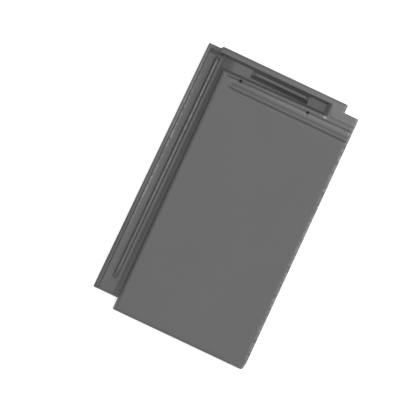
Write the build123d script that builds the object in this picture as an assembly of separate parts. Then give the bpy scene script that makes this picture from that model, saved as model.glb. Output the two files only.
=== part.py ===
from build123d import *
import os

# Flat interlocking clay roof tile, one fired piece, dimensions in millimetres.
# It lies level on its foot lip and hanging nib, as it would on a floor.
# +Y runs up the roof from foot to head, +X across it from the side lock on the left to the
# overlock on the right, +Z out of the visible face. X = 0 and Y = 0 are the middle of the
# tile's outline, and Z = 0 is the level it lies on.

# Overall sizes
tile_length = 460.0
tile_width = 277.0
tile_height = 38.0
plate_thickness = 12.0

# Side lock (left): a lowered pan with an outer rib, a channel, an inner rib and a channel
pan_drop = 16.0
pan_thickness = 8.0
outer_rib_width = 8.2
outer_rib_height = 6.5
channel_width = 14.3
inner_rib_width = 5.8
inner_rib_height = 5.7
inner_channel_width = 13.7
wall_radius = 10.0
rib_draft = 1.6
rib_round = 1.1
pan_foot_setback = 19.5
pan_head_setback = 3.7
inner_rib_end_foot = 41.0
inner_rib_end_head = 17.5

# The moulded side walls open towards the foot, so that the next tile drops in
wall_lean_head = 1.5
wall_lean_foot = 5.4
right_edge_flare = 3.9
outer_edge_flare = 1.9

# Overlock (right): two grooves and two down-ribs that cover the next tile's side lock
joint_gap = 1.4
lock_clearance = 1.5
skirt_slope_width = 7.5
skirt_slope_height = 8.5
groove_side_slope = 4.0

# Edges of the outline
edge_round = 2.5
corner_round = 2.5
edge_ease = 0.9
foot_corner_depth = 2.3
foot_corner_length = 13.0
head_notch_width = 28.9
head_notch_length = 14.0
pan_corner_slant = 3.9
head_rib_inset = 22.4
notch_offset = 1.7

# Foot lip
lip_thickness = 13.0
lip_root = 6.0
lip_end_inset = 0.6

# Head lock, with places measured down from the head edge
head_rib_width = 10.5
head_rib_slope = 4.0
head_rib_drop = 0.8
pocket_length = 22.8
pocket_depth = 9.0
pocket_wall_slope = 3.6
pocket_right_inset = 52.9
pocket_end_round = 6.0
recess_width = 97.0
recess_depth = 7.0
recess_wall = 2.3
bar_width = 2.6
bar_slope = 6.0
bar_from_head = 19.0
bar_rise = 3.0
bar_end_gap = 3.0
head_groove_width = 3.0
head_groove_depth = 1.9
fine_groove_width = 2.6
fine_groove_depth = 1.0
groove_1_from_head = 55.2
groove_2_from_head = 48.8
groove_3_from_head = 38.9
groove_4_from_head = 30.2
upper_groove_start = 15.0
groove_run_out = 8.0
land_fall = 1.0
head_fall = 2.2

# Nail holes, knocked through the plate between the head grooves
nail_hole_radius = 2.25
nail_hole_spacing = 119.4
nail_hole_shift = -4.5

# Underside: hanging nib, and a head beam and two stiffening ribs level with the pan's underside,
# which sit on the batten together
beam_length = 35.0
beam_setback = 2.0
beam_slope = 3.0
nib_width = 104.0
nib_thickness = 17.0
nib_draft = 3.0
nib_round = 2.5
stiffener_width = 14.0
stiffener_taper = 4.0
stiffener_spacing = 92.0

# Places worked out from the sizes above
y_foot = -tile_length / 2
y_head = tile_length / 2
x_left = -tile_width / 2
x_right = tile_width / 2
z_top = tile_height
z_plate = z_top - plate_thickness
z_pan = z_top - pan_drop
z_pan_under = z_pan - pan_thickness
z_pocket = z_top - pocket_depth
x_channel = x_left + outer_rib_width
x_inner_rib = x_channel + channel_width
x_inner_channel = x_inner_rib + inner_rib_width
x_wall = x_inner_channel + inner_channel_width
cover_width = x_right - (x_wall + wall_lean_foot) + joint_gap
z_rib = z_pan + outer_rib_height
y_hook = y_head - beam_length
z_groove = z_rib + lock_clearance
z_skirt = z_pan + lock_clearance
x_notch = x_wall + notch_offset
x_pocket_end = x_right - pocket_right_inset
end_margin = 5.0


def section_face(y):
    """Cross section at y: side lock, plate and overlock, with a radius for each corner."""
    share = (y - y_foot) / tile_length
    x_outer = x_left + outer_edge_flare * share
    x_edge = x_right - right_edge_flare * share
    x_wall_top = x_wall + wall_lean_foot + (wall_lean_head - wall_lean_foot) * share
    z_inner = z_pan + inner_rib_height
    corners = [
        (x_outer, z_pan_under, edge_round),
        (x_outer, z_rib, edge_round),
        (x_channel - rib_draft, z_rib, rib_round),
        (x_channel, z_pan, rib_round),
        (x_inner_rib, z_pan, rib_round),
        (x_inner_rib + rib_draft, z_inner, rib_round),
        (x_inner_channel - rib_draft, z_inner, rib_round),
        (x_inner_channel, z_pan, rib_round),
        (x_wall, z_pan, wall_radius),
        (x_wall_top, z_top, edge_round),
        (x_edge, z_top, edge_round),
        (x_edge, z_skirt + skirt_slope_height, rib_round),
        (x_edge - skirt_slope_width, z_skirt, rib_round),
        (x_inner_channel + cover_width + lock_clearance, z_skirt, rib_round),
        (x_inner_channel + cover_width + lock_clearance - rib_draft, z_groove, rib_round),
        (x_inner_rib + cover_width - lock_clearance + rib_draft, z_groove, rib_round),
        (x_inner_rib + cover_width - lock_clearance, z_skirt, rib_round),
        (x_channel + cover_width + lock_clearance + rib_draft, z_skirt, rib_round),
        (x_channel + cover_width + lock_clearance, z_groove, rib_round),
        (x_left + cover_width - lock_clearance, z_groove, rib_round),
        (x_left + cover_width - lock_clearance - groove_side_slope, z_plate, rib_round),
        (x_wall + plate_thickness, z_plate, edge_round * 2),
        (x_wall + lock_clearance, z_pan_under, edge_round * 2),
    ]
    points = [(x, z) for x, z, _ in corners]
    radii = [radius for _, _, radius in corners]
    plane = Plane(origin=(0, y, 0), x_dir=(1, 0, 0), z_dir=(0, -1, 0))
    return plane * make_face(FilletPolyline(*points, radius=radii, close=True))


def body():
    """Ruled loft between the sections at the foot and the head."""
    foot = section_face(y_foot - end_margin)
    head = section_face(y_head + end_margin)
    return loft([foot, head], ruled=True)


def outline():
    """Prism of the tile's plan: set-back pan at the foot, corner cut-outs at the head."""
    lean = foot_corner_depth / foot_corner_length
    x_far = x_right + foot_corner_depth + lean * tile_length / 2
    corners = [
        (x_notch, y_foot, corner_round / 2),
        (x_notch, y_foot + pan_foot_setback, corner_round / 2),
        (x_left - end_margin, y_foot + pan_foot_setback, corner_round / 2),
        (x_left - end_margin, y_head - pan_head_setback, corner_round / 2),
        (x_left + head_rib_inset, y_head - pan_head_setback, corner_round / 2),
        (x_left + head_rib_inset + pan_corner_slant, y_head, corner_round),
        (x_right - head_notch_width, y_head, corner_round),
        (x_right - head_notch_width, y_head - head_notch_length, corner_round / 2),
        (x_far, y_head - head_notch_length, corner_round / 2),
        (x_far, y_foot + (x_far - x_right + foot_corner_depth) / lean, corner_round / 2),
        (x_right - foot_corner_depth, y_foot, corner_round),
    ]
    points = [(x, y) for x, y, _ in corners]
    radii = [radius for _, _, radius in corners]
    plan = make_face(FilletPolyline(*points, radius=radii, close=True))
    return Pos(0, 0, -end_margin) * extrude(plan, amount=z_top + 2 * end_margin)


def along_x(profile, x_start, x_end, radius=0.0):
    """Bar with the (y, z) profile given, from x_start to x_end, its long edges rounded."""
    plane = Plane(origin=(x_start, 0, 0), x_dir=(0, 1, 0), z_dir=(1, 0, 0))
    if radius:
        border = FilletPolyline(*profile, radius=radius, close=True)
    else:
        border = Polyline(*profile, close=True)
    return extrude(plane * make_face(border), amount=x_end - x_start)


def foot_lip():
    """Lip under the foot, which laps over the head lock of the tile below."""
    profile = [
        (y_foot, 0),
        (y_foot, z_plate + plate_thickness / 2),
        (y_foot + lip_thickness + lip_root, z_plate + plate_thickness / 2),
        (y_foot + lip_thickness + lip_root, z_plate),
        (y_foot + lip_thickness, 0),
    ]
    return along_x(profile, x_notch - end_margin, x_right - lip_end_inset, corner_round / 2)


def head_beam():
    """Thicker band under the head, which carries the pocket and the nib."""
    profile = [
        (y_hook + beam_setback + beam_slope, z_pan_under),
        (y_hook + beam_setback, z_plate + lock_clearance),
        (y_head + end_margin / 2, z_plate + lock_clearance),
        (y_head + end_margin / 2, z_pan_under),
    ]
    x_end = x_left + cover_width - lock_clearance - groove_side_slope
    return along_x(profile, x_wall, x_end)


def head_rib():
    """Rib along the head edge, which closes the channels of the side lock as well."""
    z_root = z_pan - pan_thickness / 2
    y_toe = y_head - head_rib_width
    y_end = y_head + end_margin / 2
    tall = [
        (y_toe - head_rib_slope, z_root),
        (y_toe, z_top),
        (y_end, z_top),
        (y_end, z_root),
    ]
    low = [
        (y_toe - head_rib_slope / 2, z_root),
        (y_toe, z_rib - head_rib_drop),
        (y_end, z_rib - head_rib_drop),
        (y_end, z_root),
    ]
    x_step = x_left + head_rib_inset
    main = along_x(tall, x_step + pan_corner_slant / 2, x_wall + wall_radius, rib_round)
    pan_end = along_x(low, x_left + outer_rib_width / 2, x_step + pan_corner_slant, rib_round)
    return [main, pan_end]


def nib():
    """Wide hanging nib, which hooks over the batten."""
    profile = [
        (y_hook, 0),
        (y_hook, z_plate),
        (y_hook + nib_thickness + nib_draft, z_plate),
        (y_hook + nib_thickness, 0),
    ]
    block = along_x(profile, -nib_width / 2, nib_width / 2)
    ends = block.edges().filter_by(Axis.Y).sort_by(Axis.Z)[:2]
    return fillet(ends, nib_round)


def stiffeners():
    """Two ribs under the plate, from the foot lip to the head beam, tapered for the mould."""
    y_start = y_foot + lip_thickness / 2
    y_end = y_hook + beam_setback + beam_slope
    half = stiffener_width / 2
    tip = half - stiffener_taper / 2
    corners = [
        (-half, z_plate + plate_thickness / 2),
        (-half, z_plate),
        (-tip, z_pan_under),
        (tip, z_pan_under),
        (half, z_plate),
        (half, z_plate + plate_thickness / 2),
    ]
    plane = Plane(origin=(0, y_start, 0), x_dir=(-1, 0, 0), z_dir=(0, 1, 0))
    rib = extrude(plane * make_face(Polyline(*corners, close=True)), amount=y_end - y_start)
    return [Pos(side * stiffener_spacing / 2, 0, 0) * rib for side in (-1, 1)]


def pocket():
    """Trough behind the head rib, open to the side lock at its left end."""
    y_toe = y_head - head_rib_width
    y_back = y_head - head_rib_width - pocket_length
    profile = [
        (y_back + pocket_wall_slope, z_pocket),
        (y_back, z_top - edge_ease),
        (y_back - edge_ease, z_top),
        (y_back - edge_ease, z_top + end_margin),
        (y_toe + edge_ease, z_top + end_margin),
        (y_toe + edge_ease, z_top),
        (y_toe, z_top - edge_ease),
        (y_toe - head_rib_slope, z_pocket),
    ]
    trough = along_x(profile, x_wall - end_margin, x_pocket_end)
    end_edge = trough.edges().filter_by(Axis.Y).group_by(Axis.X)[-1].sort_by(Axis.Z)[0]
    return fillet(end_edge, pocket_end_round)


def recess():
    """Deeper hollow over the nib, with a ridge that climbs out of it towards the head rib."""
    y_back = y_head - head_rib_width - pocket_length + pocket_wall_slope + recess_wall
    y_front = y_head - head_rib_width - head_rib_slope
    hollow = Box(
        recess_width,
        y_front - y_back,
        recess_depth + pocket_depth,
        align=(Align.CENTER, Align.MIN, Align.MIN),
    )
    hollow = fillet(hollow.edges().filter_by(Axis.Z), corner_round)
    z_floor = z_pocket - recess_depth
    y_bar = y_head - bar_from_head
    profile = [
        (y_bar - bar_width / 2 - bar_slope, z_floor - edge_ease),
        (y_bar - bar_width / 2, z_pocket + bar_rise),
        (y_bar + bar_width / 2, z_pocket + bar_rise),
        (y_front + edge_ease, z_pocket - edge_ease),
        (y_front + edge_ease, z_floor - edge_ease),
    ]
    half = recess_width / 2 - bar_end_gap
    bar = along_x(profile, -half, half, edge_ease)
    return Pos(0, y_back, z_floor) * hollow, bar


def groove_section(x, y, width, depth, lift=0.0):
    """Trapezoid section of a head groove at x, open at the top, raised by lift."""
    z_bottom = z_top - depth + lift
    z_open = z_top + end_margin
    half_open = width / 4 * (1 + (z_open - z_bottom) / depth)
    corners = [
        (y - half_open, z_open),
        (y - width / 4, z_bottom),
        (y + width / 4, z_bottom),
        (y + half_open, z_open),
    ]
    plane = Plane(origin=(x, 0, 0), x_dir=(0, 1, 0), z_dir=(1, 0, 0))
    return plane * make_face(Polyline(*corners, close=True))


def head_groove(from_head, x_start, width, depth):
    """Cutters of a groove across the head lock: it runs out at its left end."""
    y = y_head - from_head
    x_full = x_start + groove_run_out
    start = groove_section(x_start, y, width, depth, lift=depth * 1.1)
    full = groove_section(x_full, y, width, depth)
    return [loft([start, full], ruled=True), extrude(full, amount=x_right + end_margin - x_full)]


def head_land():
    """Shallow fall of the land between the second and third head grooves."""
    profile = [
        (y_head - groove_2_from_head, z_top),
        (y_head - groove_2_from_head, z_top + end_margin),
        (y_head - groove_3_from_head, z_top + end_margin),
        (y_head - groove_3_from_head, z_top - land_fall),
    ]
    return along_x(profile, x_wall + upper_groove_start + wall_radius / 2, x_right + end_margin)


def head_slope():
    """Fall of the head lock towards the head edge, all the way across."""
    y_start = y_head - groove_4_from_head
    y_end = y_head + end_margin
    profile = [
        (y_start, z_top),
        (y_start, z_top + end_margin),
        (y_end, z_top + end_margin),
        (y_end, z_top - head_fall * (y_end - y_start) / groove_4_from_head),
    ]
    return along_x(profile, x_left - end_margin, x_right + end_margin)


def eased_foot():
    """Cutter that rounds the upper edge of the foot."""
    low = (y_foot, z_top - edge_round)
    middle = (y_foot + edge_round / 3, z_top - edge_round / 3)
    high = (y_foot + edge_round, z_top)
    border = Curve() + [
        ThreePointArc(low, middle, high),
        Polyline(
            high,
            (high[0], z_top + end_margin),
            (y_foot - end_margin, z_top + end_margin),
            (y_foot - end_margin, low[1]),
            low,
        ),
    ]
    plane = Plane(origin=(x_left - end_margin, 0, 0), x_dir=(0, 1, 0), z_dir=(1, 0, 0))
    return extrude(plane * make_face(border), amount=tile_width + 2 * end_margin)


def inner_rib_ends():
    """Cutters that end the inner rib short of the pan's foot and of the head rib."""
    height = inner_rib_height + end_margin
    foot_run = inner_rib_end_foot
    head_run = inner_rib_end_head
    lower = [
        (y_foot, z_pan),
        (y_foot, z_pan + height),
        (y_foot + foot_run + height, z_pan + height),
        (y_foot + foot_run, z_pan),
    ]
    upper = [
        (y_head - head_run, z_pan),
        (y_head - head_run - height / 2, z_pan + height),
        (y_head + end_margin / 2, z_pan + height),
        (y_head + end_margin / 2, z_pan),
    ]
    x_from = x_inner_rib - rib_round
    x_to = x_inner_channel + rib_round
    return [along_x(profile, x_from, x_to) for profile in (lower, upper)]


plan = outline()
tile = body() & plan
for cutter in inner_rib_ends():
    tile -= cutter
for member in [foot_lip(), head_beam(), nib(), *head_rib(), *stiffeners()]:
    tile += member & plan
tile -= pocket()
hollow, bar = recess()
tile -= hollow
tile += bar
x_groove = x_wall + upper_groove_start
tile -= head_land()
tile -= head_slope()
grooves = [
    (groove_1_from_head, x_groove, head_groove_width, head_groove_depth),
    (groove_2_from_head, x_groove, fine_groove_width, fine_groove_depth),
    (groove_3_from_head, x_wall + wall_lean_foot, head_groove_width, head_groove_depth),
    (groove_4_from_head, x_pocket_end - end_margin, fine_groove_width, fine_groove_depth),
]
for groove in grooves:
    for cutter in head_groove(*groove):
        tile -= cutter
for side in (-1, 1):
    x_hole = nail_hole_shift + side * nail_hole_spacing / 2
    tile -= Pos(x_hole, y_head - groove_3_from_head, z_top / 2) * Cylinder(nail_hole_radius, z_top)
tile -= eased_foot()
tile = Part() + tile.solid()
tile.label = "roof_tile"

print("volume cm3", round(tile.volume / 1000, 1), "valid", tile.is_valid, "cover", cover_width)
print(tile.bounding_box())
os.makedirs("parts", exist_ok=True)
export_step(tile, "parts/roof_tile.step")
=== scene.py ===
import math

import bpy
import numpy as np
from bpy.props import FloatProperty, FloatVectorProperty, PointerProperty
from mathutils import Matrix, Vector


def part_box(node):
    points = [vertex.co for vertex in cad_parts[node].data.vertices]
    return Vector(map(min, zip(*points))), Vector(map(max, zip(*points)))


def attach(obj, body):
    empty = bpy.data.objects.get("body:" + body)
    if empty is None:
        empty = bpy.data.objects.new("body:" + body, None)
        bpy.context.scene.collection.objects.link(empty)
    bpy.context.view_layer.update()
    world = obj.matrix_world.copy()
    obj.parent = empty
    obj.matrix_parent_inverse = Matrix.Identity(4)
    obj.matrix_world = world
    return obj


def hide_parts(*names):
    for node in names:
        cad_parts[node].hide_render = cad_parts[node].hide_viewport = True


bl_info = {
    "name": "Interlocking clay roof tile",
    "version": (1, 0, 0),
    "blender": (4, 5, 0),
    "location": "View3D > Sidebar > Roof tile",
    "description": "A pressed clay roof tile in dark engobe, on a pale studio floor",
    "category": "Add Mesh",
}

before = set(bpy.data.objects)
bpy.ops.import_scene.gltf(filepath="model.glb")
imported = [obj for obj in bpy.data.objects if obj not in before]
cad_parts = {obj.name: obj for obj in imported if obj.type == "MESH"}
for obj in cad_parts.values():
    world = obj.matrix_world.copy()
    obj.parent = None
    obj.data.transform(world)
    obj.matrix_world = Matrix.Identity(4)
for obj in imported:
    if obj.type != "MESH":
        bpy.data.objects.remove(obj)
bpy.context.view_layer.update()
MM = 0.001

# Places of the pressed shape in millimetres, in the frame of the solid: x across, y up the roof.
# The width is the nominal one, which the rounded edges draw in by a tenth of a millimetre.
TILE_LOW, TILE_HIGH = (tuple(round(v / MM, 3) for v in corner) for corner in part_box("roof_tile"))
Y_FOOT, Y_HEAD, Z_TOP = TILE_LOW[1], TILE_HIGH[1], TILE_HIGH[2]
LENGTH = Y_HEAD - Y_FOOT
X_LEFT, X_RIGHT = -138.5, 138.5
PLATE_UNDER, PAN_FLOOR, PAN_UNDER = Z_TOP - 12.0, Z_TOP - 16.0, Z_TOP - 24.0

# Side lock. The bend and the top of its wall lean: each has a place at the foot and at the head.
OUTER_RIB_TOP, INNER_RIB_TOP, RIB_DRAFT = PAN_FLOOR + 6.5, PAN_FLOOR + 5.7, 0.9
X_CHANNEL, X_INNER_RIB, X_INNER_CHANNEL, X_WALL = -130.7, -116.5, -109.75, -96.5
X_WALL_TOE, X_WALL_BEND, X_WALL_TOP, WALL_BEND = -104.2, (-95.6, -99.6), (-90.9, -96.4), 5.0
LEFT_FLARE, RIGHT_FLARE = 1.9, 3.9
INNER_RIB_FOOT, INNER_RIB_HEAD = Y_FOOT + 46.0, Y_HEAD - 17.5
INNER_RIB_RISE, INNER_RIB_FALL = 0.5, 0.7

# Overlock under the right edge: two grooves, each by its low, high, high and low corner
GROOVE_ROOF, SKIRT = PAN_FLOOR + 8.0, PAN_FLOOR + 1.5
GROOVES_UNDER = ((87.0, 91.0, 102.2, 103.8), (113.5, 115.1, 120.7, 122.3))
SKIRT_SLOPE = (7.5, 8.5)

# Plan of the tile. The foot corner's bevel is its depth and length, and it draws in what lies
# right of X_BEVEL. Small corners have a share of the corners' radius.
X_FOOT_NOTCH, Y_PAN_FOOT = -94.8, Y_FOOT + 19.5
X_HEAD_NOTCH, Y_HEAD_NOTCH = 109.6, Y_HEAD - 14.0
Y_PAN_HEAD, X_SLANT_LOW, X_SLANT_HIGH = Y_HEAD - 3.7, -116.1, -112.2
FOOT_CORNER, X_BEVEL = (2.3, 13.0), 122.0
SMALL_CORNER = 0.8

# Head lock. A recess or bar is its half length, its two sides and its floor or top, and a
# groove is its place, its left end, its width and its depth.
Y_RIB_TOE, RIB_SLOPE, X_RIB_CORNER = Y_HEAD - 9.3, 4.2, -114.6
Y_POCKET_BACK, POCKET_SLOPE, POCKET_FLOOR, X_POCKET_END = Y_HEAD - 33.3, 3.6, Z_TOP - 9.0, 86.4
X_POCKET_RAMP = (-105.0, -88.0)
RECESS = (48.5, Y_HEAD - 27.4, Y_HEAD - 14.5, Z_TOP - 16.0)
RECESS_STRETCH = 1.09
BAR = (42.3, Y_HEAD - 20.6, Y_HEAD - 16.4, Z_TOP - 5.4)
BAR_SLOPE, BAR_RUN_OUT = 6.0, 7.0
LOW_RIB_TOP, LOW_RIB_SLOPE = OUTER_RIB_TOP - 0.8, 10.0
HEAD_GROOVES = (
    (Y_HEAD - 56.0, -81.5, 2.8, 1.8),
    (Y_HEAD - 49.3, -81.5, 2.6, 0.9),
    (Y_HEAD - 39.1, -91.1, 3.0, 2.2),
    (Y_HEAD - 30.8, 80.6, 2.6, 1.1),
)
GROOVE_RUN_OUT = 8.0
LAND_FALL, X_LAND, HEAD_FALL = 1.0, -78.0, 2.2
POCKET_SLANT, GROOVE_SLANT, RIB_SLANT = 0.020, 0.008, 0.006
NAIL_HOLES, NAIL_RADIUS, NAIL_REACH = ((-64.2, Y_HEAD - 38.9), (55.2, Y_HEAD - 38.9)), 2.25, 7.0
NAIL_RING = (0.603, 1.299)

# Underside
LIP_INNER, LIP_ROOT = Y_FOOT + 13.0, Y_FOOT + 19.0
NIB = (52.0, Y_HEAD - 35.0, Y_HEAD - 18.0, Y_HEAD - 15.0)
BEAM_LOW, BEAM_HIGH, X_BEAM_END = Y_HEAD - 30.0, Y_HEAD - 33.0, 87.0
STIFFENER, STIFFENER_LOW, STIFFENER_HIGH = 46.0, 5.0, 7.0

# Rounding of the upper rim: less by a share at the right edge, more by a length at the head,
# and the radius at the nail holes
RIGHT_RIM_SHARE, HEAD_RIM_MORE, HOLE_RIM = 0.4, 1.8, 0.5

# Tone of the engobe against the plate's 0, most of it painted light and shade: places up
# the roof, and the tone at each
# Painted highlights on the ridges between the head grooves and on the grooves' edges
RIDGE_HIGHLIGHTS = (
    [169.0, 171.0, 173.0, 176.0, 178.0, 180.5, 183.0, 185.0, 188.0, 191.0],
    [0.0, 0.25, 0.0, 0.0, 0.4, 0.2, 0.4, 0.65, 0.65, 0.0],
)
# Painted sheen on the head lock's land, lighter to the right
LAND_SHEEN = ([188.0, 191.0, 196.0, 202.0], [0.0, 0.35, 0.4, 0.55])
OUTER_RIB_TONES = ([-200.0, -100.0, 0.0, 140.0], [-0.35, -0.35, 0.0, 0.35])
# Painted shade in the pocket and the channel, and painted fill light on the recess's floor and the
# steep sides
POCKET_SHADE, RECESS_FILL_LIGHT, CHANNEL_SHADE, STEEP_FILL_LIGHT = -0.4, 0.55, -0.2, 0.32

# Painted highlight lines along the tile, on crests and edges: place, half width, places up
# the roof, and the strength at each
HIGHLIGHT_LINES = (
    (X_CHANNEL + 2.4, 1.2, [-130.0, -20.0, 60.0, 135.0, 205.0], [0.0, 1.0, 1.0, 0.55, 0.0]),
    (X_CHANNEL - 1.4, 0.9, [40.0, 120.0, 205.0], [0.0, 0.5, 0.4]),
    ((X_INNER_RIB + X_INNER_CHANNEL) / 2, 0.8,
     [-80.0, -10.0, 60.0, 135.0, 205.0], [0.0, 0.4, 0.45, 0.7, 0.4]),
    (X_RIGHT - 1.0, 1.6, [-230.0, 0.0, 190.0, 216.0], [0.7, 0.8, 1.0, 1.0]),
    (X_RIGHT - 3.2, 1.3, [196.0, 201.0, 214.0, 216.0], [0.0, 0.6, 0.6, 0.0]),
)
# Painted glint along the head notch's edge, and painted glints in spots on corners that stand out
NOTCH_GLINT = (X_HEAD_NOTCH - 2.2, 1.3, [212.0, 216.0, 228.0, 230.0], [0.0, 0.9, 0.9, 0.2])
GLINT_SPOTS = ((84.6, 196.2, 1.8), (131.0, 187.0, 1.6), (131.0, 178.0, 1.6))
GLINT_STRENGTH, SPOT_LENGTH = 2.2, 1.4

# Patterns of the engobe, in metres, and the clouds' share in its mottle. The clouds are those
# of a slip that ran, and the specks, which break up the painted highlight lines, are drawn
# coarser than they are so that they show.
CLOUD_SIZE, SPECK_SIZE, GRAIN_DEPTH = 0.055, 0.006, 0.00025
CLOUD_SHARE = 0.35

# Stage, in metres, with the key light's spread in degrees and the camera's sensor in millimetres.
# The floor lies a little low, so that it and the tile don't share a face. Its own light starts
# FLOOR_DARK inside the tile's edge, and is full FLOOR_LIT inside it.
FLOOR_REACH, FLOOR_LINES, FLOOR_LEVEL = 6.0, 13, -0.0003
FLOOR_DARK, FLOOR_LIT = 0.035, 0.02
KEY_AIM, KEY_SPREAD = (0.2, 0.16, 0.965), 12.0
CAMERA_SPOT, SENSOR_WIDTH, CAMERA_END = (-0.02559, -0.01645), 36.0, 50.0

# Mesh: the least gap between two of its lines, how much further apart its rows may be, and
# the columns between which none of them leans
NEAREST_LINES, ROW_STRETCH = 0.3, 1.4
STEADY, STEADY_COLUMNS = (-80.0, 80.0), (-82.0, 60.0)
RIM_STEPS = 1.0 - np.cos(np.linspace(0.0, math.pi / 2, 6))
WALL_RINGS = 2

# Far past every edge and far under the tile, for lines that run on
FAR, DEEP = 500.0, -90.0


# Shapes


def rounded_line(*corners, steps=4):
    """Points along a line whose inner corners (a, b, radius) are arcs.

    Each arc touches both of its straight runs: its centre lies on the corner's bisector, at
    radius over the sine of half the corner's angle.
    """
    points = np.array([corner[:2] for corner in corners], float)
    out = [points[:1]]
    for before, corner, after, given in zip(points[:-2], points[1:-1], points[2:], corners[1:-1]):
        radius = given[2] if len(given) > 2 else 0.0
        if radius <= 0:
            out.append(corner[None])
            continue
        back = (before - corner) / np.hypot(*(before - corner))
        on = (after - corner) / np.hypot(*(after - corner))
        half = math.acos(float(np.clip(back @ on, -1, 1))) / 2
        bisector = (back + on) / np.hypot(*(back + on))
        centre = corner + bisector * radius / math.sin(half)
        start = corner + back * radius / math.tan(half) - centre
        end = corner + on * radius / math.tan(half) - centre
        first = math.atan2(start[1], start[0])
        turn = (math.atan2(end[1], end[0]) - first + math.pi) % (2 * math.pi) - math.pi
        angles = first + turn * np.linspace(0, 1, steps + 1)
        out.append(centre + radius * np.column_stack([np.cos(angles), np.sin(angles)]))
    out.append(points[-1:])
    return np.concatenate(out)


def height(line, at):
    """Height of a rounded line at each place."""
    return np.interp(at, line[:, 0], line[:, 1])


def step_up(at, low, high, start, lean, low_round=0.0, high_round=0.0):
    """Height that climbs from low to high over the width lean, with both corners rounded."""
    line = rounded_line(
        (-FAR, low), (start, low, low_round), (start + lean, high, high_round), (FAR, high)
    )
    return height(line, at)


def smooth_min(a, b, width):
    """Lower of two heights, blended by a parabola where they differ by less than width."""
    share = np.clip(width - np.abs(a - b), 0, None) / width
    return np.minimum(a, b) - share * share * width / 4


def smooth_max(a, b, width):
    """Higher of two heights, blended the same way."""
    return -smooth_min(-a, -b, width)


def outside_box(x, y, half, low, high, radius):
    """Distance from a box with rounded corners in plan, negative inside it."""
    across = np.abs(x) - half + radius
    along = np.abs(y - (low + high) / 2) - (high - low) / 2 + radius
    outer = np.hypot(np.maximum(across, 0), np.maximum(along, 0))
    return outer + np.minimum(np.maximum(across, along), 0) - radius


def grid_lines(must, want, least, most):
    """Places of grid lines: all of must, those of want that keep clear of them, and filling."""
    kept = sorted(set(np.round(must, 4)))
    for place in sorted(want):
        if min(abs(place - other) for other in kept) >= least:
            kept.append(place)
    kept = np.array(sorted(kept))
    parts = np.maximum(np.ceil(np.diff(kept) / most).astype(int), 1)
    runs = [
        np.linspace(a, b, n, endpoint=False) for a, b, n in zip(kept[:-1], kept[1:], parts)
    ]
    return np.concatenate(runs + [kept[-1:]])


def top_section(share, edge_round):
    """Visible line of the cross section, from the outer rib to the right edge."""
    x_bend = X_WALL_BEND[0] + (X_WALL_BEND[1] - X_WALL_BEND[0]) * share
    x_top = X_WALL_TOP[0] + (X_WALL_TOP[1] - X_WALL_TOP[0]) * share
    return rounded_line(
        (X_LEFT + LEFT_FLARE * share, OUTER_RIB_TOP),
        (X_CHANNEL - 0.6, OUTER_RIB_TOP, 0.8),
        (X_CHANNEL, PAN_FLOOR + 1.0, 0.8),
        (X_CHANNEL + 4.5, PAN_FLOOR, 5.0),
        (X_INNER_RIB, PAN_FLOOR, 2.2),
        (X_INNER_RIB + RIB_DRAFT, INNER_RIB_TOP, 1.2),
        (X_INNER_CHANNEL - RIB_DRAFT, INNER_RIB_TOP, 1.2),
        (X_INNER_CHANNEL, PAN_FLOOR, 1.3),
        (X_WALL_TOE, PAN_FLOOR, 3.4),
        (x_bend, PAN_FLOOR + WALL_BEND, 4.0),
        (x_top, Z_TOP, edge_round + 1.2),
        (X_RIGHT - RIGHT_FLARE * share, Z_TOP),
        steps=6,
    )


def under_section(share):
    """Hidden line of the cross section, from the pan to the skirt of the overlock."""
    x_edge = X_RIGHT - RIGHT_FLARE * share
    corners = [
        (X_LEFT + LEFT_FLARE * share, PAN_UNDER),
        (X_WALL + 1.5, PAN_UNDER, 5.0),
        (X_WALL + 12.0, PLATE_UNDER, 5.0),
    ]
    low_a, high_a, high_b, low_b = GROOVES_UNDER[0]
    corners += [
        (low_a, PLATE_UNDER, 1.1),
        (high_a, GROOVE_ROOF, 1.1),
        (high_b, GROOVE_ROOF, 1.1),
        (low_b, SKIRT, 1.1),
    ]
    low_a, high_a, high_b, low_b = GROOVES_UNDER[1]
    corners += [
        (low_a, SKIRT, 1.1),
        (high_a, GROOVE_ROOF, 1.1),
        (high_b, GROOVE_ROOF, 1.1),
        (low_b, SKIRT, 1.1),
        (x_edge - SKIRT_SLOPE[0], SKIRT, 1.1),
        (x_edge, SKIRT + SKIRT_SLOPE[1]),
    ]
    return rounded_line(*corners, steps=3)


def right_edge(y):
    """Right edge of the plan: it leans inwards towards the head, with a bevel at the foot."""
    depth, length = FOOT_CORNER
    lean = RIGHT_FLARE * (y - Y_FOOT) / LENGTH
    return X_RIGHT - lean - depth * np.clip((Y_FOOT + length - y) / length, 0, 1)


def left_edge(y):
    """Left edge of the plan, which leans inwards towards the head."""
    return X_LEFT + LEFT_FLARE * (y - Y_FOOT) / LENGTH


def plan_line(corner_round):
    """Closed outline of the plan, anticlockwise, with rounded outer corners."""
    small = corner_round * SMALL_CORNER
    return rounded_line(
        (0.0, Y_FOOT),
        (right_edge(Y_FOOT), Y_FOOT, corner_round),
        (right_edge(Y_FOOT + FOOT_CORNER[1]), Y_FOOT + FOOT_CORNER[1]),
        (right_edge(Y_HEAD_NOTCH), Y_HEAD_NOTCH, small),
        (X_HEAD_NOTCH, Y_HEAD_NOTCH),
        (X_HEAD_NOTCH, Y_HEAD, corner_round),
        (X_SLANT_HIGH, Y_HEAD),
        (X_SLANT_LOW, Y_PAN_HEAD),
        (left_edge(Y_PAN_HEAD), Y_PAN_HEAD, small),
        (left_edge(Y_PAN_FOOT), Y_PAN_FOOT, small),
        (X_FOOT_NOTCH, Y_PAN_FOOT),
        (X_FOOT_NOTCH, Y_FOOT, small),
        (0.0, Y_FOOT),
        steps=8,
    )


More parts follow.
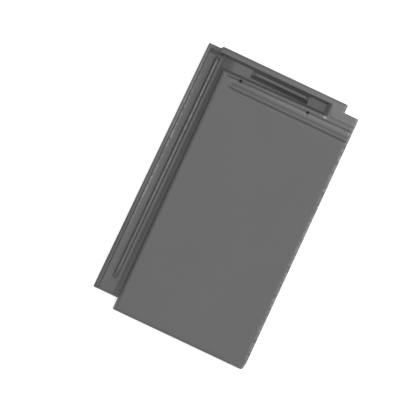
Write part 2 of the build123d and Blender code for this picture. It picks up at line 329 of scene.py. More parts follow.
def distance_to_line(x, y, line):
    """Distance of every place to the nearest run of a line of points."""
    starts, runs = line[:-1], np.diff(line, axis=0)
    squares = np.maximum((runs**2).sum(axis=1), 1e-12)
    dx = x.ravel()[:, None] - starts[:, 0]
    dy = y.ravel()[:, None] - starts[:, 1]
    share = np.clip((dx * runs[:, 0] + dy * runs[:, 1]) / squares, 0, 1)
    gaps = np.hypot(dx - share * runs[:, 0], dy - share * runs[:, 1])
    return gaps.min(axis=1).reshape(x.shape)


def round_corner(x, y, edge_x, edge_y, inward_x, inward_y, radius):
    """Moves the grid near an outer corner so that its squares become quarter circles.

    A place at most radius from both edges keeps its direction from the arc's centre, and its
    distance becomes the larger of its two offsets.
    """
    across = radius - (x - edge_x) * inward_x
    along = radius - (y - edge_y) * inward_y
    near = (across > 0) & (along > 0) & (across <= radius * 1.001) & (along <= radius * 1.001)
    reach = np.where(near, np.hypot(across, along), 1.0)
    scale = np.where(near, np.maximum(across, along) / reach, 1.0)
    new_x = np.where(near, edge_x + inward_x * (radius - across * scale), x)
    new_y = np.where(near, edge_y + inward_y * (radius - along * scale), y)
    return new_x, new_y


def round_hole(x, y, centre, radius, reach):
    """Moves the grid near a hole so that the square round it becomes a circle."""
    dx, dy = x - centre[0], y - centre[1]
    square = np.maximum(np.abs(dx), np.abs(dy))
    circle = np.maximum(np.hypot(dx, dy), 1e-9)
    blend = np.clip((reach - square) / (reach - radius), 0, 1)
    scale = 1 + blend * (square / circle - 1)
    near = (square < reach) & (square > 1e-6)
    scale = np.where(near, scale, 1.0)
    return centre[0] + dx * scale, centre[1] + dy * scale


def rim_drop(gap, radius):
    """How far a rounded rim has fallen at a distance from the outline: a quarter circle."""
    inner = np.clip(radius - gap, 0, radius)
    return radius - np.sqrt(np.maximum(radius**2 - inner**2, 0))


def beside(place, *offsets):
    """Places at each offset from a place."""
    return [place + offset for offset in offsets]


def both_sides(places):
    """The places and their mirror images."""
    return [side * place for side in (-1, 1) for place in places]


def hole_lines(centre):
    """Grid lines through a nail hole: its middle, its edges and the octagon inside it."""
    return beside(centre, 0.0, *both_sides(NAIL_RING + (NAIL_RADIUS,)))


def grid_columns(shape, rim, foot_lines):
    """Grid lines across the tile, closer together where its height bends."""
    must = [X_LEFT, X_RIGHT, X_FOOT_NOTCH, X_HEAD_NOTCH, X_SLANT_LOW]
    want = [place for line in foot_lines for place in line[:, 0]]
    for x_hole, _ in NAIL_HOLES:
        must += hole_lines(x_hole)
        want += beside(x_hole, *both_sides((2.7, 3.4, 4.8, 7.0)))
    for edge in (X_LEFT, X_FOOT_NOTCH):
        want += beside(edge, *rim)
    for edge in (X_RIGHT, X_HEAD_NOTCH):
        want += beside(edge, *-rim)
    want += beside(X_CHANNEL, 1.0, 1.7, 2.4, 3.1, 3.8, 4.6)
    edges = [NIB[0], RECESS[0], BAR[0]]
    edges += beside(STIFFENER, *both_sides((STIFFENER_LOW, STIFFENER_HIGH)))
    for edge in edges:
        want += both_sides(beside(edge, -1.6, -0.8, -0.4, 0, 0.4, 0.8, 1.6))
    want += both_sides(beside(RECESS[0], -5.5, -4.8, -4.0, -3.2, -2.4))
    for place in beside(RECESS[0], -4.8, -4.0, -2.4, -0.8, 0, 0.4, 0.8):
        want.append(-RECESS_STRETCH * place)
    want += beside(X_POCKET_END, -11, -10, -9, -8, -7, -6, -4, -3, -2, -1, 0, 1, 2, 3, 5)
    for _, start, _, _ in HEAD_GROOVES:
        want += beside(start, 0, 2, 4, 6, GROOVE_RUN_OUT)
    want += beside(X_RIB_CORNER, -0.3, 0.3, 0.9, 1.6) + [X_SLANT_HIGH, X_BEAM_END - 0.6]
    return grid_lines(must, want, NEAREST_LINES, shape.spacing / MM)


def grid_rows(shape, rim):
    """Grid lines along the tile, closer together where its height bends."""
    must = [Y_FOOT, Y_HEAD, Y_PAN_FOOT, Y_HEAD_NOTCH, Y_PAN_HEAD, Y_FOOT + FOOT_CORNER[1]]
    must += hole_lines(NAIL_HOLES[0][1])
    want = beside(Y_FOOT, *rim) + beside(Y_PAN_FOOT, *rim)
    for edge in (Y_HEAD, Y_HEAD_NOTCH, Y_PAN_HEAD):
        want += beside(edge, *-rim)
    want += beside(LIP_INNER, -1.2, -0.6, 0, 0.5, 1) + beside(LIP_ROOT, -1, -0.5, 0, 1, 2)
    want += beside(INNER_RIB_FOOT, -1, 0, 1, 3, 5, 7, 9, 10, 11, 12, 14)
    want += beside(INNER_RIB_HEAD, -11, -9, -7, -5, -3, -1, 0, 1)
    for y_groove, _, width, _ in HEAD_GROOVES:
        parts = both_sides((0.1, 0.25, 0.4, 0.5, 0.6))
        want += beside(y_groove, *(width * part for part in parts))
    want += list(np.arange(HEAD_GROOVES[2][0] - 2.8, HEAD_GROOVES[2][0] + 2.8, 0.5))
    want += list(np.arange(Y_POCKET_BACK - 3.2, Y_POCKET_BACK + 6.6, 0.6))
    want += list(np.arange(Y_RIB_TOE - 6.0, Y_RIB_TOE + 2.6, 0.6))
    for edge in RECESS[1:3]:
        want += beside(edge, -1.4, -0.8, -0.4, 0, 0.4, 0.8)
    want += beside(BAR[1], -6.0, -4.5, -3.0, -1.5, -0.8, -0.3, 0.2, 0.6)
    want += beside(BAR[2], -0.6, -0.2, 0.3, 0.8, 1.5, 2.3)
    want += beside(NIB[1], -0.4, 0, 0.4, 0.9, 1.5) + [BEAM_HIGH, BEAM_LOW, NIB[2], NIB[3]]
    return grid_lines(must, want, NEAREST_LINES, shape.spacing / MM * ROW_STRETCH)


def plan_grid(shape):
    """Grid lines of the tile: columns at the foot, the same at the head, and rows.

    A column that follows a leaning corner of the section has another place at the head, and
    the columns between two such corners are shared out in proportion.
    """
    edge_round = shape.edge_round / MM
    foot_top, head_top = top_section(0, edge_round), top_section(1, edge_round)
    foot_under, head_under = under_section(0), under_section(1)
    rim = edge_round * RIM_STEPS
    columns = grid_columns(shape, rim, (foot_top, foot_under))
    rows = grid_rows(shape, rim)

    left, right = foot_top[:, 0] < STEADY[0], foot_under[:, 0] > STEADY[1]
    known = np.concatenate([foot_top[left], foot_under[right]])[:, 0]
    target = np.concatenate([head_top[left], head_under[right]])[:, 0]
    from_x = np.concatenate([known, STEADY_COLUMNS])
    to_x = np.concatenate([target, STEADY_COLUMNS])
    order = np.argsort(from_x, kind="stable")
    return columns, np.interp(columns, from_x[order], to_x[order]), rows


def kept_cells(columns, rows):
    """True for each cell of the grid that is part of the tile."""
    x = (columns[:-1] + columns[1:])[None, :] / 2
    y = (rows[:-1] + rows[1:])[:, None] / 2
    keep = ~((x < X_FOOT_NOTCH) & (y < Y_PAN_FOOT))
    keep &= ~((x > X_HEAD_NOTCH) & (y > Y_HEAD_NOTCH))
    keep &= ~((x < X_SLANT_LOW) & (y > Y_PAN_HEAD))
    for x_hole, y_hole in NAIL_HOLES:
        keep &= ~((abs(x - x_hole) < NAIL_RADIUS) & (abs(y - y_hole) < NAIL_RADIUS))
    return keep


def grid_places(shape, columns, head_columns, rows):
    """Places of the grid's crossings in plan, drawn to the tile's real edges and corners."""
    y = np.repeat(rows[:, None], len(columns), axis=1)
    share = (y - Y_FOOT) / LENGTH
    x = columns + (head_columns - columns) * share

    # the right edge's bevel at the foot draws in the last few columns
    bevel = right_edge(y) - (X_RIGHT - RIGHT_FLARE * share)
    x = x + bevel * np.clip((columns - X_BEVEL) / (X_RIGHT - X_BEVEL), 0, 1)

    # the slant of the pan's head corner
    slant = (X_SLANT_HIGH - X_SLANT_LOW) * np.clip((y - Y_PAN_HEAD) / (Y_HEAD - Y_PAN_HEAD), 0, 1)
    pull = np.clip((X_WALL - columns) / (X_WALL - X_SLANT_LOW), 0, 1)
    x = x + slant * np.where(columns < X_SLANT_LOW - 1e-3, 1, pull)

    big, small = shape.corner_round / MM, shape.corner_round / MM * SMALL_CORNER
    x, y = round_corner(x, y, X_FOOT_NOTCH, Y_FOOT, 1, 1, small)
    x, y = round_corner(x, y, right_edge(y), Y_FOOT, -1, 1, big)
    x, y = round_corner(x, y, right_edge(y), Y_HEAD_NOTCH, -1, -1, small)
    x, y = round_corner(x, y, X_HEAD_NOTCH, Y_HEAD, -1, -1, big)
    x, y = round_corner(x, y, left_edge(y), Y_PAN_HEAD, 1, -1, small)
    x, y = round_corner(x, y, left_edge(y), Y_PAN_FOOT, 1, 1, small)
    for centre in NAIL_HOLES:
        x, y = round_hole(x, y, centre, NAIL_RADIUS, NAIL_REACH)
    return x, y


def waves(x, y, reach):
    """Slow unevenness of a drying tile, from 0 to reach: four long sine waves added up."""
    total = (
        np.sin(x / 47.0 + y / 83.0 + 0.7)
        + np.sin(x / 29.0 - y / 61.0 + 2.1)
        + np.sin(y / 37.0 + 4.4)
        + np.sin(x / 19.0 + y / 113.0 + 5.2)
    )
    return reach * (total / 4 + 1) / 2


def with_inner_rib(z, x, y):
    """Ends of the inner rib: it rises gently from the foot, and falls steeply to the head."""
    rises = PAN_FLOOR + np.clip((y - INNER_RIB_FOOT) * INNER_RIB_RISE, 0, 20)
    falls = PAN_FLOOR + np.clip((INNER_RIB_HEAD - y) * INNER_RIB_FALL, 0, 20)
    ends = smooth_min(smooth_min(z, rises, 1.6), falls, 1.6)
    inside = (x > X_INNER_RIB - 2) & (x < X_INNER_CHANNEL + 2)
    return np.where(inside, np.maximum(ends, PAN_FLOOR), z)


def rib_slope(y, run, low, top, radius):
    """Height of the head rib seen from its end: a slope from low up to a flat top."""
    line = rounded_line((-FAR, DEEP), (Y_RIB_TOE - run, low), (Y_RIB_TOE, top, radius), (FAR, top))
    return height(line, y)


def with_head_rib(z, x, y):
    """Head rib: low over the pan, and tall from its corner inwards."""
    low = rib_slope(y, LOW_RIB_SLOPE, PAN_FLOOR - 3, LOW_RIB_TOP, 2.0)
    z = np.where(x < X_WALL - 2, smooth_max(z, low, 1.6), z)
    tall = rib_slope(y, RIB_SLOPE, PAN_FLOOR - 4, Z_TOP, 1.4)
    corner = step_up(x, 0.0, Z_TOP, X_RIB_CORNER, 0.9, 0.0, 1.4)
    return smooth_max(z, np.minimum(tall, corner), 0.01)


def with_pocket(z, x, y):
    """Pocket behind the head rib: the higher of a trough across and a rounded right end.

    Its edges are eased by slopes of nearly 45 degrees. At the left end a ramp, which fades
    towards both of the trough's sides, takes its floor down to the pan's.
    """
    across = rounded_line(
        (Y_POCKET_BACK - 20.0, Z_TOP + 18.0),
        (Y_POCKET_BACK, Z_TOP - 1.0, 1.5),
        (Y_POCKET_BACK + POCKET_SLOPE, POCKET_FLOOR, 4.0),
        (Y_RIB_TOE - RIB_SLOPE, POCKET_FLOOR, 1.6),
        (Y_RIB_TOE, Z_TOP - 1.0, 1.5),
        (Y_RIB_TOE + 20.0, Z_TOP + 18.0),
        steps=5,
    )
    along = rounded_line(
        (-FAR, POCKET_FLOOR),
        (X_POCKET_END - 7.5, POCKET_FLOOR, 6.0),
        (X_POCKET_END - 2.5, POCKET_FLOOR + 4.2, 3.0),
        (X_POCKET_END, Z_TOP - HEAD_FALL / 2, 2.5),
        (X_POCKET_END + 30.0, Z_TOP + 2.0),
        steps=8,
    )
    ramp = rounded_line(
        (-FAR, PAN_FLOOR),
        (X_POCKET_RAMP[0], PAN_FLOOR, 24.0),
        (X_POCKET_RAMP[1], POCKET_FLOOR, 30.0),
        (FAR, POCKET_FLOOR),
    )
    ramp_share = np.interp(
        y,
        [Y_POCKET_BACK, Y_POCKET_BACK + 5.0, Y_RIB_TOE - RIB_SLOPE, Y_RIB_TOE - 0.8],
        [0.0, 1.0, 1.0, 0.0],
    )
    trough = smooth_max(height(across, y), height(along, x), 1.5)
    trough = trough + (height(ramp, x) - POCKET_FLOOR) * ramp_share
    return np.where(x > X_WALL - 12, smooth_min(z, trough, 0.4), z)


def with_recess(z, x, y):
    """Recess over the nib, drawn out at its left end, and the bar that stands in it.

    The recess is the highest of a rounded box, a slope at its foot side and slopes at its ends.
    The bar climbs from the foot side, falls to the pocket's floor at the head side, and runs
    out at its ends.
    """
    half, low_y, high_y, floor = RECESS
    from_middle = np.where(x < 0, -x / RECESS_STRETCH, x)
    gap = outside_box(from_middle, y, half + 0.8, low_y, high_y, 2.5)
    box = rounded_line(
        (-FAR, floor), (-0.5, floor, 1.2), (0.2, POCKET_FLOOR, 0.0), (FAR, 8000.0)
    )
    side = rounded_line(
        (-FAR, FAR), (low_y - 0.4, POCKET_FLOOR, 2.0), (low_y + 3.6, floor, 1.5), (FAR, floor)
    )
    end = rounded_line(
        (0.0, floor), (half - 4.5, floor, 2.0), (half + 0.3, POCKET_FLOOR, 2.0), (half + 3.0, FAR)
    )
    slopes = np.maximum(height(side, y), height(end, from_middle))
    z = smooth_min(z, np.maximum(height(box, gap), slopes), 0.6)

    half, low_y, high_y, top = BAR
    bar = rounded_line(
        (low_y - BAR_SLOPE * 5, top - (top - floor) * 5),
        (low_y, top, 1.0),
        (high_y, top, 1.0),
        (RECESS[2], POCKET_FLOOR, 0.5),
        (FAR, POCKET_FLOOR),
    )
    run_out = step_up(from_middle - half, 0.0, top - POCKET_FLOOR, 0.0, BAR_RUN_OUT, 2.0, 2.0)
    bar = np.minimum(height(bar, y), top - run_out)
    return np.where(gap < 0, smooth_max(z, bar, 0.5), z)


def with_fall(z, y):
    """Fall of the whole head lock towards the head edge, straight from the last groove."""
    y_start = HEAD_GROOVES[3][0]
    fall = Z_TOP - HEAD_FALL * (y - y_start) / (Y_HEAD - y_start)
    return smooth_min(z, np.maximum(fall, OUTER_RIB_TOP + 1), 0.1)


def with_grooves(z, x, y):
    """Grooves across the head, which run out at their left ends, and the falling land.

    A groove's section is a flat bottom of half its width between two slopes.
    """
    y_low, y_high = HEAD_GROOVES[1][0], HEAD_GROOVES[2][0]
    land = Z_TOP - LAND_FALL * np.clip((y - y_low) / (y_high - y_low), 0, 1)
    fade = np.clip((x - X_LAND) / GROOVE_RUN_OUT, 0, 1)
    on_land = (y > y_low) & (y < y_high)
    z = np.where(on_land, np.minimum(z, Z_TOP + (land - Z_TOP) * fade), z)
    for y_groove, start, width, depth in HEAD_GROOVES:
        slant = GROOVE_SLANT * x * (y_groove > y_low + 1)
        lift = depth * 1.1 * (1 - np.clip((x - start) / GROOVE_RUN_OUT, 0, 1))
        z_wide = Z_TOP + depth * (20.0 / (width / 4) - 2)
        section = rounded_line(
            (-20.0, z_wide),
            (-width / 4, Z_TOP - depth, 0.5),
            (width / 4, Z_TOP - depth, 0.5),
            (20.0, z_wide),
        )
        cut = smooth_min(z, height(section, y - y_groove - slant) + lift, 0.3)
        z = np.where((x > start) & (z > OUTER_RIB_TOP + 4), cut, z)
    return z


def visible_face(x, y, ruled):
    """Height of the visible face: the ruled section with the head lock and its pocket cut in.

    The tile dried a little out of square: the pocket, a groove and the rib slant in plan.
    """
    y_rib = y - RIB_SLANT * x
    y_pocket = y - np.interp(y, [205.0, 212.0], [POCKET_SLANT, RIB_SLANT]) * x
    z = with_inner_rib(ruled, x, y)
    z = with_head_rib(z, x, y_rib)
    z = with_pocket(z, x, y_pocket)
    z = with_recess(z, x, y)
    z = with_fall(z, y)
    return with_grooves(z, x, y)


def tone_and_painted_light(x, y, depth):
    """How much lighter (above 0) or darker (below 0) the engobe is than on the plate.

    Over the head lock it lightens to the right with painted sheen, and most of all on the
    ridges between the grooves, with painted highlights. The pocket darkens with painted shade,
    and the recess's floor is lighter with painted fill light. Along the outer rib it lightens
    towards the head, and the channel darkens there with painted shade.
    """
    ridges = np.interp(y, *RIDGE_HIGHLIGHTS) * np.clip((x + 85.0) / 100.0, 0, 1)
    deep = np.clip((depth - 3.0) / 4.0, 0, 1)
    land = np.interp(y, *LAND_SHEEN) * np.clip((x + 75.0) / 175.0, 0, 1) * (1 - deep)
    pocket = deep * np.clip((x + 40.0) / 100.0, 0, 1) * (y > 195.0)
    recess = np.clip((depth - 10.0) / 4.0, 0, 1) * (np.abs(x) < 60.0)
    rib = np.clip((X_CHANNEL - x) / 1.2, 0, 1) * np.interp(y, *OUTER_RIB_TONES)
    channel = np.clip((x - X_CHANNEL - 1.0) / 2.0, 0, 1) * np.clip((X_WALL_TOE - x) / 4.0, 0, 1)
    channel = channel * np.clip(y / 140.0, 0, 1)
    tone = ridges + land + rib
    return tone + POCKET_SHADE * pocket + RECESS_FILL_LIGHT * recess + CHANNEL_SHADE * channel


def highlight_line(at, y, line):
    """Painted highlight along a line: a bell curve over the distance from it, times its strength
    at y.
    """
    place, width, places, strengths = line
    return np.exp(-(((at - place) / width) ** 2)) * np.interp(y, places, strengths)


def painted_glints(x, y, columns):
    """How much painted highlight lies on the engobe, from 0 to 1, along crests and edges.

    A few corners that stand out get painted glints in oval spots, bell curves as well.
    """
    bells = [highlight_line(columns, y, line) for line in HIGHLIGHT_LINES] + [highlight_line(x, y, NOTCH_GLINT)]
    for x_spot, y_spot, size in GLINT_SPOTS:
        squares = ((x - x_spot) / SPOT_LENGTH) ** 2 + (y - y_spot) ** 2
        bells.append(GLINT_STRENGTH * np.exp(-squares / size**2))
    return np.max(bells, axis=0)


def hidden_face(x, y, ruled):
    """Height of the underside: the ruled section with lip, nib, beam and stiffeners below it."""
    lip = rounded_line((-FAR, 0.0), (LIP_INNER, 0.0, 1.2), (LIP_ROOT, PLATE_UNDER), (FAR, 3000.0))
    z = smooth_min(ruled, height(lip, y), 1.5)
    beam = np.maximum(
        step_up(BEAM_LOW - y, PAN_UNDER, PLATE_UNDER + 1.5, 0.0, BEAM_LOW - BEAM_HIGH, 1.0, 0.0),
        step_up(x - X_BEAM_END, PAN_UNDER, 60.0, -0.6, 2.0),
    )
    z = np.where((x > X_WALL) & (y > BEAM_HIGH - 3), smooth_min(z, beam, 1.0), z)
    lean = (90.0 - PAN_UNDER) / (PLATE_UNDER - PAN_UNDER) * (STIFFENER_HIGH - STIFFENER_LOW)
    from_rib = np.abs(np.abs(x) - STIFFENER)
    z = smooth_min(z, step_up(from_rib, PAN_UNDER, 90.0, STIFFENER_LOW, lean, 1.0), 1.2)
    half, front, back_low, back_high = NIB
    back_lean = (back_high - back_low) / PLATE_UNDER * 60.0
    nib = step_up(front - y, 0.0, 60.0, -0.6, 1.2, 0.8)
    nib = np.maximum(nib, step_up(y - back_low, 0.0, 60.0, 0.0, back_lean, 1.0))
    nib = np.maximum(nib, step_up(np.abs(x) - half, 0.0, 60.0, -0.6, 1.2, 2.2))
    return smooth_min(z, nib, 0.8)


def ruled_height(section, columns, head_columns, share):
    """Height between the sections at the foot and the head, straight from one to the other."""
    return (1 - share) * height(section(0), columns) + share * height(section(1), head_columns)


def open_edges(keep, index):
    """Edges of the kept cells that no other kept cell shares, each as its two crossings."""
    padded = np.pad(keep, 1)
    above, below = padded[1:, 1:-1], padded[:-1, 1:-1]
    right, left = padded[1:-1, 1:], padded[1:-1, :-1]
    pairs = []
    for mask, start, end in (
        (above & ~below, index[:, :-1], index[:, 1:]),
        (below & ~above, index[:, 1:], index[:, :-1]),
        (left & ~right, index[:-1, :], index[1:, :]),
        (right & ~left, index[1:, :], index[:-1, :]),
    ):
        pairs.append(np.column_stack([start[mask], end[mask]]))
    return np.concatenate(pairs)


def rounded_rims(shape, x, y, top, under, rim_index):
    """Both faces with their rims rounded, and the visible one with the clay's unevenness."""
    gap = distance_to_line(x, y, plan_line(shape.corner_round / MM))
    hole_gap = np.min([np.hypot(x - a, y - b) - NAIL_RADIUS for a, b in NAIL_HOLES], axis=0)
    on_rim = np.zeros(x.size, bool)
    on_rim[rim_index] = True
    gap = np.where(on_rim.reshape(x.shape) & (np.abs(hole_gap) > 1), 0, gap)
    rim_round = shape.edge_round / MM * (1 - RIGHT_RIM_SHARE * np.clip((x - 100.0) / 20.0, 0, 1))
    rim_round = rim_round + HEAD_RIM_MORE * np.clip((y - 215.0) / 8.0, 0, 1)
    top = top - rim_drop(gap, rim_round) - rim_drop(np.abs(hole_gap), HOLE_RIM)
    under = under + rim_drop(gap, shape.under_round / MM)
    return top - waves(x, y, shape.waviness / MM), under


def closed_faces(keep, index, pairs, rim_index):
    """Quads of the visible face, of the underside, and of the band that joins them.

    The underside's crossings follow the visible face's, and the band's rings follow those.
    """
    corners = (index[:-1, :-1], index[:-1, 1:], index[1:, 1:], index[1:, :-1])
    face = np.column_stack([corner[keep] for corner in corners])
    order = np.full(index.size, -1)
    order[rim_index] = np.arange(len(rim_index))
    levels = [pairs]
    for ring in range(WALL_RINGS):
        levels.append(order[pairs] + 2 * index.size + ring * len(rim_index))
    levels.append(pairs + index.size)
    faces = [face, face[:, ::-1] + index.size]
    for upper, lower in zip(levels[:-1], levels[1:]):
        faces.append(np.column_stack([upper[:, 1], upper[:, 0], lower[:, 0], lower[:, 1]]))
    return np.concatenate(faces)


def closed_tile(shape):
    """Vertices and faces of the whole tile, and at each vertex its tone, with painted light and
    shade, and its painted highlights.

    Both faces are height functions on one grid of places. Cells in the notches and the nail
    holes are left out, and a band of quads joins the two faces along every open edge.
    """
    columns, head_columns, rows = plan_grid(shape)
    keep = kept_cells(columns, rows)
    index = np.arange(len(rows) * len(columns)).reshape(len(rows), len(columns))
    pairs = open_edges(keep, index)
    rim_index = np.unique(pairs)

    x, y = grid_places(shape, columns, head_columns, rows)
    share = (rows[:, None] - Y_FOOT) / LENGTH
    edge_round = shape.edge_round / MM
    ruled = ruled_height(lambda end: top_section(end, edge_round), columns, head_columns, share)
    top = visible_face(x, y, ruled)
    under = hidden_face(x, y, ruled_height(under_section, columns, head_columns, share))
    top, under = rounded_rims(shape, x, y, top, under, rim_index)

    flat_x, flat_y, flat_top, flat_under = x.ravel(), y.ravel(), top.ravel(), under.ravel()
    points = [
        np.column_stack([flat_x, flat_y, flat_top]),
        np.column_stack([flat_x, flat_y, flat_under]),
    ]
    for ring in range(1, WALL_RINGS + 1):
        part = ring / (WALL_RINGS + 1)
        level = flat_top[rim_index] * (1 - part) + flat_under[rim_index] * part
        points.append(np.column_stack([flat_x[rim_index], flat_y[rim_index], level]))
    points = np.concatenate(points)
    faces = closed_faces(keep, index, pairs, rim_index)

    # painted fill light: the steep sides are made lighter, against the shade that falls on them
    steep = np.hypot(
        np.gradient(top, axis=1) / np.gradient(x, axis=1),
        np.gradient(top, axis=0) / np.gradient(y, axis=0),
    )
    tone = tone_and_painted_light(x, y, Z_TOP - top) + STEEP_FILL_LIGHT * np.clip(steep, 0, 1)
    glints = painted_glints(x, y, columns)
    marks = {}
    for name, values in (("tone_and_painted_light", tone.ravel()), ("painted_glints", glints.ravel())):
        rim = [values[rim_index] * (1 - ring / WALL_RINGS) for ring in range(WALL_RINGS)]
        marks[name] = np.concatenate([values, 0 * values] + rim)

    used, faces = np.unique(faces, return_inverse=True)
    marks = {name: values[used] for name, values in marks.items()}
    return points[used] * MM, faces.reshape(-1, 4), marks


def mesh_object(name, points, faces, material):
    """New object with its place in its mesh, smooth apart from its sharpest edges."""
    mesh = bpy.data.meshes.new(name)
    mesh.from_pydata(points.tolist(), [], faces.tolist())
    mesh.validate()
    mesh.shade_smooth()
    mesh.set_sharp_from_angle(angle=math.radians(50))
    mesh.materials.append(material)
    piece = bpy.data.objects.new(name, mesh)
    bpy.context.scene.collection.objects.link(piece)
    return piece


# Finishes


def linear(hex_colour):
    """Linear colour of an sRGB hex value."""
    colour = []
    for start in (1, 3, 5):
        value = int(hex_colour[start:start + 2], 16) / 255
        colour.append(value / 12.92 if value <= 0.04045 else ((value + 0.055) / 1.055) ** 2.4)
    return tuple(colour)


def add_node(material, kind, inputs=(), **settings):
    """Adds a node, sets its properties, and sets or links its inputs."""
    node = material.node_tree.nodes.new(kind)
    for key, value in settings.items():
        setattr(node, key, value)
    for key, value in dict(inputs).items():
        if isinstance(value, bpy.types.NodeSocket):
            material.node_tree.links.new(value, node.inputs[key])
        else:
            node.inputs[key].default_value = value
    return node


def engobed_clay(finish):
    """Satin engobe on fired clay: a thin slip of fine clay that was fired on with the tile.

    To the eye it is an even dark grey with a soft sheen on the crests, partly from its gloss and
    partly painted highlight, a faint grain, and painted highlight lines and glints.
    """
    material = bpy.data.materials.new("satin_engobe_on_clay")
    material.use_nodes = True
    material.node_tree.nodes.clear()
    place = add_node(material, "ShaderNodeTexCoord").outputs["Object"]
    noises = []
    for size, detail, roughness in (
        (finish.grain_size, 4.0, 0.6), (CLOUD_SIZE, 3.0, 0.55), (SPECK_SIZE, 2.0, 0.6),
    ):
        inputs = {"Vector": place, "Scale": 1 / size, "Detail": detail, "Roughness": roughness}
        noises.append(add_node(material, "ShaderNodeTexNoise", inputs).outputs["Fac"])
    grain, cloud, specks = noises
    span = {"From Min": 0.3, "From Max": 0.7}

    # grain and clouds choose between the two colours, and the tone at each vertex, which holds
    # painted highlight, sheen and shade, scales them
    mottle = add_node(
        material, "ShaderNodeMix", {0: CLOUD_SHARE, 2: grain, 3: cloud}, data_type="FLOAT"
    ).outputs[0]
    share = add_node(
        material, "ShaderNodeMapRange", {"Value": mottle, "To Min": 0.0, "To Max": 1.0, **span}
    ).outputs["Result"]
    dark, light, highlight = (
        tuple(colour) + (1.0,)
        for colour in (finish.engobe_dark, finish.engobe_light, finish.highlight_colour)
    )
    colour = add_node(
        material, "ShaderNodeMix", {0: share, 6: dark, 7: light}, data_type="RGBA"
    ).outputs[2]
    tone, glints = (
        add_node(
            material, "ShaderNodeAttribute", attribute_type="GEOMETRY", attribute_name=name
        ).outputs["Fac"]
        for name in ("tone_and_painted_light", "painted_glints")
    )
    tone = add_node(material, "ShaderNodeMath", {0: tone, 1: 1.0}, operation="ADD").outputs[0]
    colour = add_node(
        material, "ShaderNodeVectorMath", {0: colour, "Scale": tone}, operation="SCALE"
    ).outputs[0]

    # specks break up the painted highlight lines and glints
    specks = add_node(
        material, "ShaderNodeMapRange",
        {"Value": specks, "From Min": 0.4, "From Max": 0.6, "To Min": 0.1, "To Max": 1.0},
    ).outputs["Result"]
    glints = add_node(
        material, "ShaderNodeMath", {0: glints, 1: specks}, operation="MULTIPLY"
    ).outputs[0]
    colour = add_node(
        material, "ShaderNodeMix", {0: glints, 6: colour, 7: highlight}, data_type="RGBA"
    ).outputs[2]
    rough = add_node(
        material, "ShaderNodeMapRange",
        {"Value": grain, "To Min": finish.roughness - 0.04, "To Max": finish.roughness + 0.05,
         **span},
    ).outputs["Result"]
    bump = add_node(
        material, "ShaderNodeBump",
        {"Height": grain, "Strength": 0.25, "Distance": GRAIN_DEPTH},
    ).outputs["Normal"]
    shader = add_node(
        material, "ShaderNodeBsdfPrincipled",
        {"Base Color": colour, "Roughness": rough, "Normal": bump, "IOR": 1.5, "Metallic": 0.0},
    )
    add_node(material, "ShaderNodeOutputMaterial", {"Surface": shader.outputs["BSDF"]})
    return material


def pale_floor(studio):
    """Matt white studio board: pale and without gloss.

    It gives light of its own outside the tile, so that only soft shade shows on it.
    """
    material = bpy.data.materials.new("matt_white_board")
    material.use_nodes = True
    shader = material.node_tree.nodes["Principled BSDF"]
    place = add_node(material, "ShaderNodeTexCoord").outputs["Object"]
    parts = add_node(material, "ShaderNodeSeparateXYZ", {"Vector": place}).outputs
    edges = []
    for axis, half in (("X", X_RIGHT * MM), ("Y", Y_HEAD * MM)):
        size = add_node(
            material, "ShaderNodeMath", {0: parts[axis]}, operation="ABSOLUTE"
        ).outputs[0]
        band = {"From Min": half - FLOOR_DARK, "From Max": half - FLOOR_LIT}
        edges.append(
            add_node(material, "ShaderNodeMapRange", {"Value": size, **band}).outputs["Result"]
        )
    outside = add_node(
        material, "ShaderNodeMath", {0: edges[0], 1: edges[1]}, operation="MAXIMUM"
    ).outputs[0]
    glow = add_node(
        material, "ShaderNodeMath", {0: outside, 1: studio.floor_glow}, operation="MULTIPLY"
    ).outputs[0]
    material.node_tree.links.new(glow, shader.inputs["Emission Strength"])
    shader.inputs["Base Color"].default_value = tuple(studio.floor_colour) + (1.0,)
    shader.inputs["Roughness"].default_value = 0.9
    shader.inputs["Specular IOR Level"].default_value = 0.1
    shader.inputs["Emission Color"].default_value = (1.0, 1.0, 1.0, 1.0)
    return material


# Settings


class RoofTileShape(bpy.types.PropertyGroup):
    edge_round: FloatProperty(
        name="Edge round", description="Radius of the tile's upper edges",
        default=0.0022, min=0.0005, max=0.004, subtype="DISTANCE", unit="LENGTH",
    )
    under_round: FloatProperty(
        name="Lower edge round", description="Radius of the tile's lower edges",
        default=0.0012, min=0.0002, max=0.002, subtype="DISTANCE", unit="LENGTH",
    )
    corner_round: FloatProperty(
        name="Corner round", description="Radius of the outline's corners",
        default=0.0025, min=0.0005, max=0.0025, subtype="DISTANCE", unit="LENGTH",
    )
    waviness: FloatProperty(
        name="Waviness", description="Depth of the slow unevenness of the face",
        default=0.0002, min=0.0, max=0.001, subtype="DISTANCE", unit="LENGTH",
    )
    spacing: FloatProperty(
        name="Mesh spacing", description="Widest gap between two lines of the mesh",
        default=0.0055, min=0.003, max=0.02, subtype="DISTANCE", unit="LENGTH",
    )


